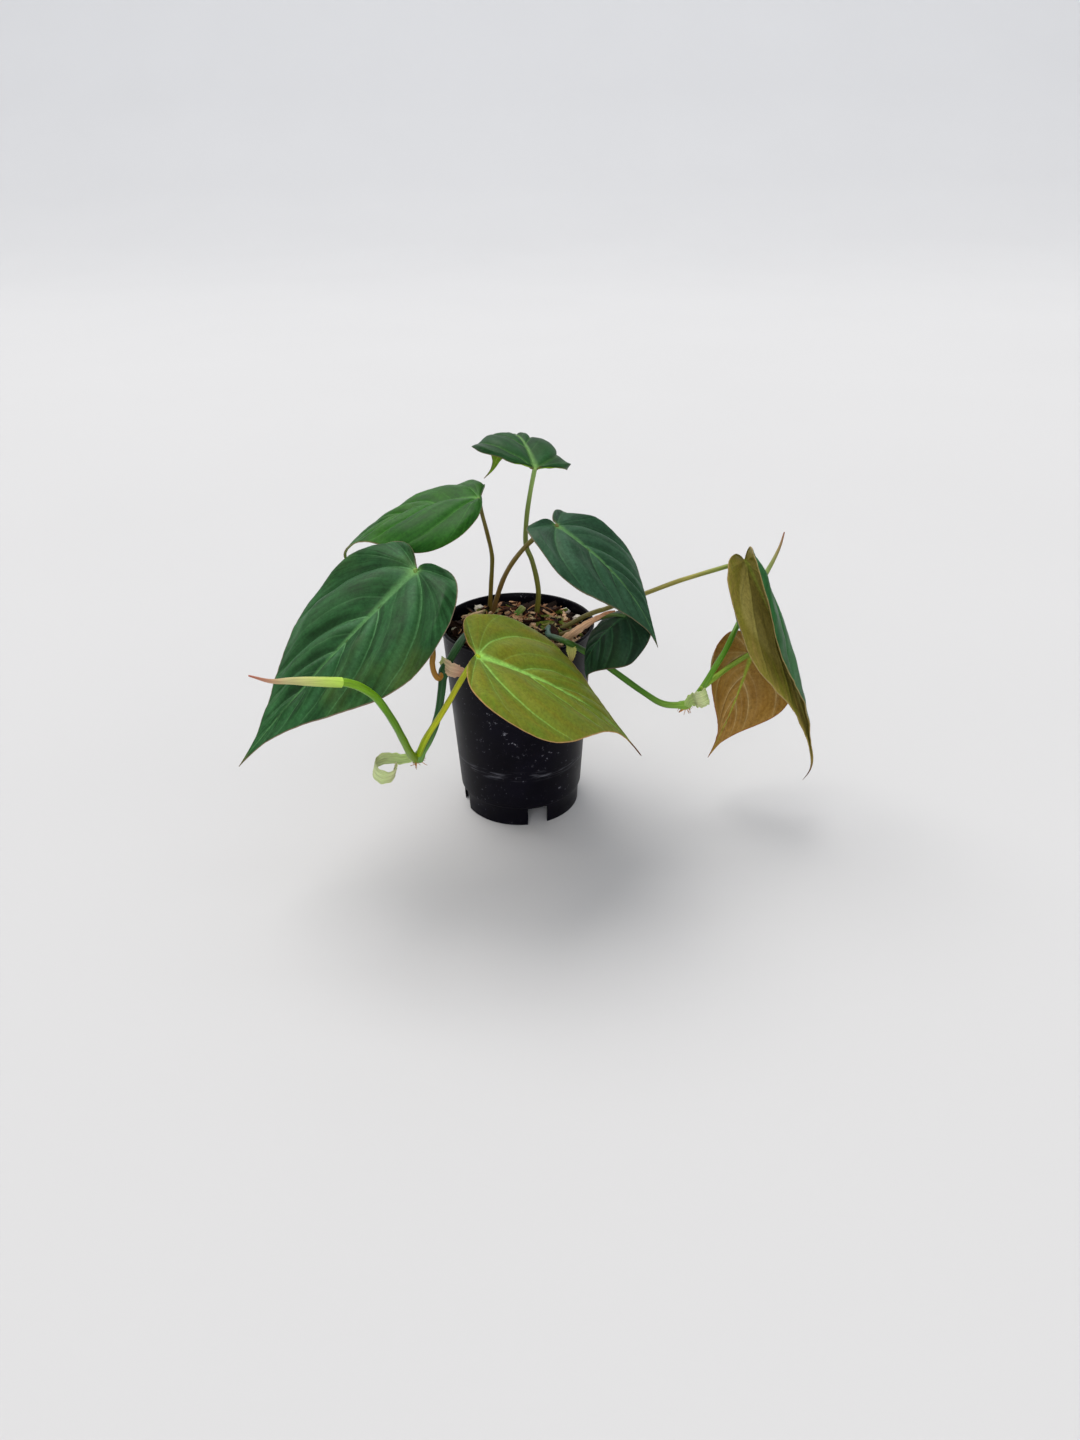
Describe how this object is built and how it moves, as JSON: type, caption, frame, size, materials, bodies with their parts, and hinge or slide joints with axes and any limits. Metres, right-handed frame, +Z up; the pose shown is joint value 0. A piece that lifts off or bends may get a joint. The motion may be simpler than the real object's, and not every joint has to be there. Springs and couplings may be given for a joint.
{
  "type": "potted velvet leaf philodendron",
  "caption": "Young trailing houseplant with velvety heart-shaped leaves on slender stalks, growing from bark mix in a small round black nursery pot.",
  "frame": {"origin": "bottom centre of the whole plant's bounding box, on the surface the pot stands on", "axes": "+Z up; +X to the right across the plant's greatest spread, seen from the front; the front faces -Y"},
  "size_m": [0.2478, 0.1764, 0.1685],
  "materials": {
    "pot": "thin black injection-moulded plastic, slightly scuffed and dusty",
    "potting_mix": "dark bark and fibre mix",
    "perlite": "white expanded mineral lumps",
    "bark": "rough pine bark chips",
    "stem_stub": "cut green stem",
    "vine_left": "smooth dark green stem",
    "vine_right": "smooth green stem",
    "shoot_stem": "smooth fresh green stem",
    "shoot_left_sheath": "thin fresh bud sheath, yellow-green to pinkish brown at its tip",
    "shoot_right_rolled_leaf": "new leaf still rolled up",
    "petiole": "smooth olive-brown stalk",
    "petiole_front": "smooth yellow-green stalk",
    "dry_sheath": "dried papery sheath",
    "fresh_sheath": "pale green translucent sheath",
    "leaf_top": "velvety green blade",
    "leaf_back_left": "velvety mid-green blade",
    "leaf_large_left": "velvety grey-green blade with paler midrib",
    "leaf_front": "olive-bronze young blade with bright veins",
    "leaf_right_centre": "velvety dark green blade",
    "leaf_small_dark": "velvety blackish green blade",
    "leaf_far_right": "folded blade, olive-brown beneath and green above",
    "leaf_bronze": "young bronze blade"
  },
  "bodies": {
    "root": {"pot": "pot", "potting_mix": "potting_mix", "perlite_1": "perlite", "perlite_2": "perlite", "perlite_3": "perlite", "perlite_4": "perlite", "perlite_5": "perlite", "bark_1": "bark", "bark_2": "bark", "bark_3": "bark", "stem_stub": "stem_stub", "vine_left": "vine_left", "vine_right": "vine_right", "shoot_left_stem": "shoot_stem", "shoot_right_stem": "shoot_stem", "shoot_left_sheath": "shoot_left_sheath", "shoot_right_rolled_leaf": "shoot_right_rolled_leaf", "petiole_top": "petiole", "petiole_back_left": "petiole", "petiole_large_left": "petiole", "petiole_front": "petiole_front", "petiole_right_centre": "petiole", "petiole_small_dark": "petiole", "petiole_far_right": "petiole", "petiole_bronze": "petiole_front", "sheath_right_long": "dry_sheath", "sheath_left_upper": "dry_sheath", "sheath_left_curl": "fresh_sheath", "sheath_right_lobe": "fresh_sheath", "sheath_right_collar": "fresh_sheath", "leaf_top": "leaf_top", "leaf_back_left": "leaf_back_left", "leaf_large_left": "leaf_large_left", "leaf_front": "leaf_front", "leaf_right_centre": "leaf_right_centre", "leaf_small_dark": "leaf_small_dark", "leaf_far_right": "leaf_far_right", "leaf_bronze": "leaf_bronze"}
  },
  "joints": []
}
